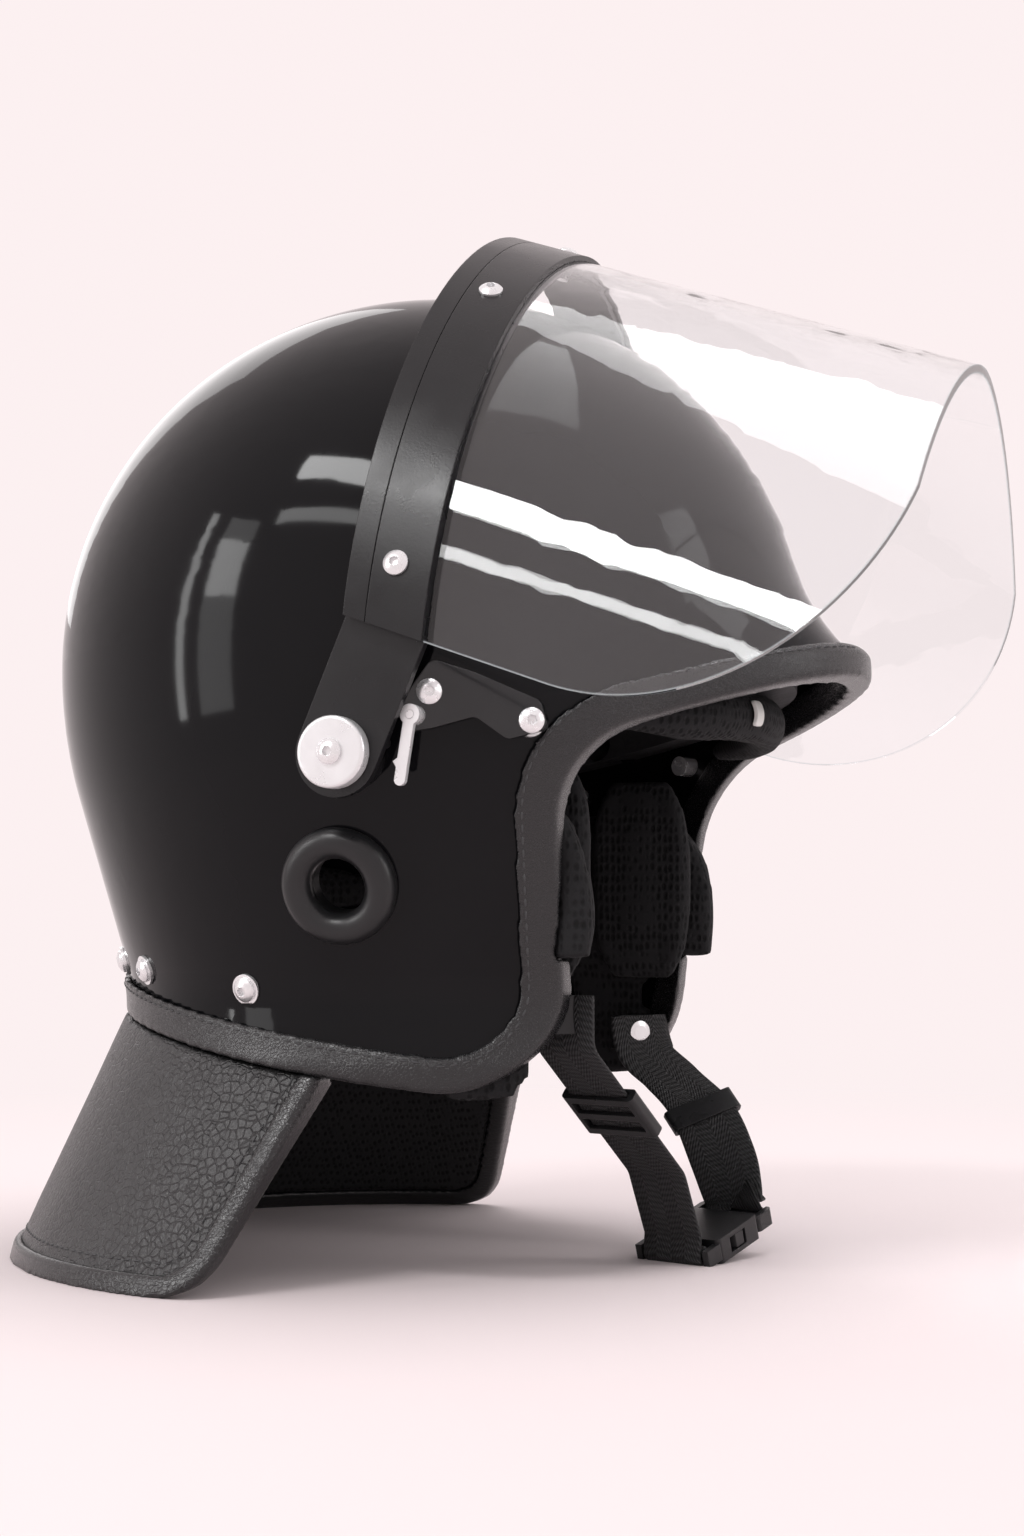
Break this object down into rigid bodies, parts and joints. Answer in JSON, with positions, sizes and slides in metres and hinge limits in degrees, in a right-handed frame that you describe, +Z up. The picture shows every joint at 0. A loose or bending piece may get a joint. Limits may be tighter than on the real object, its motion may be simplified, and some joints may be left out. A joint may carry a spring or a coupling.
{
  "type": "riot helmet",
  "caption": "Protective helmet with a deep shell, a clear hinged visor, a flared nape guard, padded lining and a buckled chin strap.",
  "frame": {"origin": "on the floor below the middle of the whole helmet's box", "axes": "+X to the front, +Y to the wearer's left, +Z up"},
  "size_m": [0.3697, 0.2946, 0.3808],
  "materials": {
    "shell_gloss": "high gloss lacquer",
    "trim_soft": "leather-grained, satin",
    "grommet": "satin",
    "frame_black": "satin",
    "catch_black": "gloss",
    "visor_clear": "clear polycarbonate",
    "steel": "bright zinc",
    "bright_metal": "polished",
    "guard_leather": "grained leatherette",
    "lining_cloth": "woven",
    "foam": "moulded foam",
    "pad_cloth": "spacer mesh",
    "clip_clear": "milky clear",
    "webbing": "woven webbing",
    "buckle_black": "moulded"
  },
  "bodies": {
    "helmet": {"shell": "shell_gloss", "edge_trim": "trim_soft", "ear_grommet_right": "grommet", "ear_grommet_left": "grommet", "pivot_boss_right": "frame_black", "pivot_boss_left": "frame_black", "pivot_washers": "steel", "pivot_disc_right": "bright_metal", "pivot_disc_left": "bright_metal", "pivot_screws": "steel", "pivot_nuts": "steel", "catch_plate_right": "catch_black", "catch_plate_left": "catch_black", "catch_spacers": "steel", "catch_screws": "steel", "catch_nuts": "steel", "lever_pins": "steel", "nape_guard": "guard_leather", "guard_lining": "lining_cloth", "guard_piping": "guard_leather", "nape_packing": "foam", "nape_washers": "steel", "nape_screws": "steel", "nape_nuts": "steel", "impact_liner": "foam", "crown_pad": "pad_cloth", "brow_pad": "pad_cloth", "nape_pad": "pad_cloth", "cheek_pad_right": "pad_cloth", "cheek_pad_left": "pad_cloth", "jaw_pad_right": "pad_cloth", "jaw_pad_left": "pad_cloth", "brow_pad_clip": "clip_clear", "chin_strap_right": "webbing", "chin_strap_left": "webbing", "strap_anchor_right": "frame_black", "strap_anchor_left": "frame_black", "strap_rivets": "steel", "buckle_socket": "buckle_black", "buckle_plug": "buckle_black", "strap_keeper": "buckle_black"},
    "visor_hoop": {"visor_frame": "frame_black", "clamp_strip": "frame_black", "visor": "visor_clear", "clamp_screws": "steel", "clamp_nuts": "steel"},
    "lever_right": {"catch_lever_right": "bright_metal"},
    "lever_left": {"catch_lever_left": "bright_metal"},
    "prong_rear": {"buckle_prong_rear": "buckle_black"},
    "prong_front": {"buckle_prong_front": "buckle_black"},
    "slider": {"strap_slider": "buckle_black"}
  },
  "joints": [
    {"name": "visor_hinge", "type": "hinge", "parent": "helmet", "child": "visor_hoop", "pos_m": [-0.00607, 0, 0.176], "axis": [0, 1, 0], "range_deg": [0, 62]},
    {"name": "lever_right_swing", "type": "hinge", "parent": "helmet", "child": "lever_right", "pos_m": [0.01793, -0.12765, 0.188], "axis": [0, -1, 0], "range_deg": [0, 12], "stiffness_Nm_per_rad": 0.02},
    {"name": "lever_left_swing", "type": "hinge", "parent": "helmet", "child": "lever_left", "pos_m": [0.01793, 0.12765, 0.188], "axis": [0, -1, 0], "range_deg": [0, 12], "stiffness_Nm_per_rad": 0.02},
    {"name": "prong_rear_flex", "type": "hinge", "parent": "helmet", "child": "prong_rear", "pos_m": [0.06957, 0.02817, 0.01102], "axis": [-0.0943, -0.259, 0.9613], "range_deg": [0, 7], "stiffness_Nm_per_rad": 0.08},
    {"name": "prong_front_flex", "type": "hinge", "parent": "helmet", "child": "prong_front", "pos_m": [0.0879, 0.0215, 0.01102], "axis": [0.0943, 0.259, -0.9613], "range_deg": [0, 7], "stiffness_Nm_per_rad": 0.08},
    {"name": "slider_slide", "type": "slide", "parent": "helmet", "child": "slider", "axis": [-0.2562, -0.7038, 0.6626], "range_m": [-0.008, 0.008]}
  ],
  "couplings": [
    {"joint": "prong_front_flex", "follows": "prong_rear_flex", "ratio": 1}
  ]
}
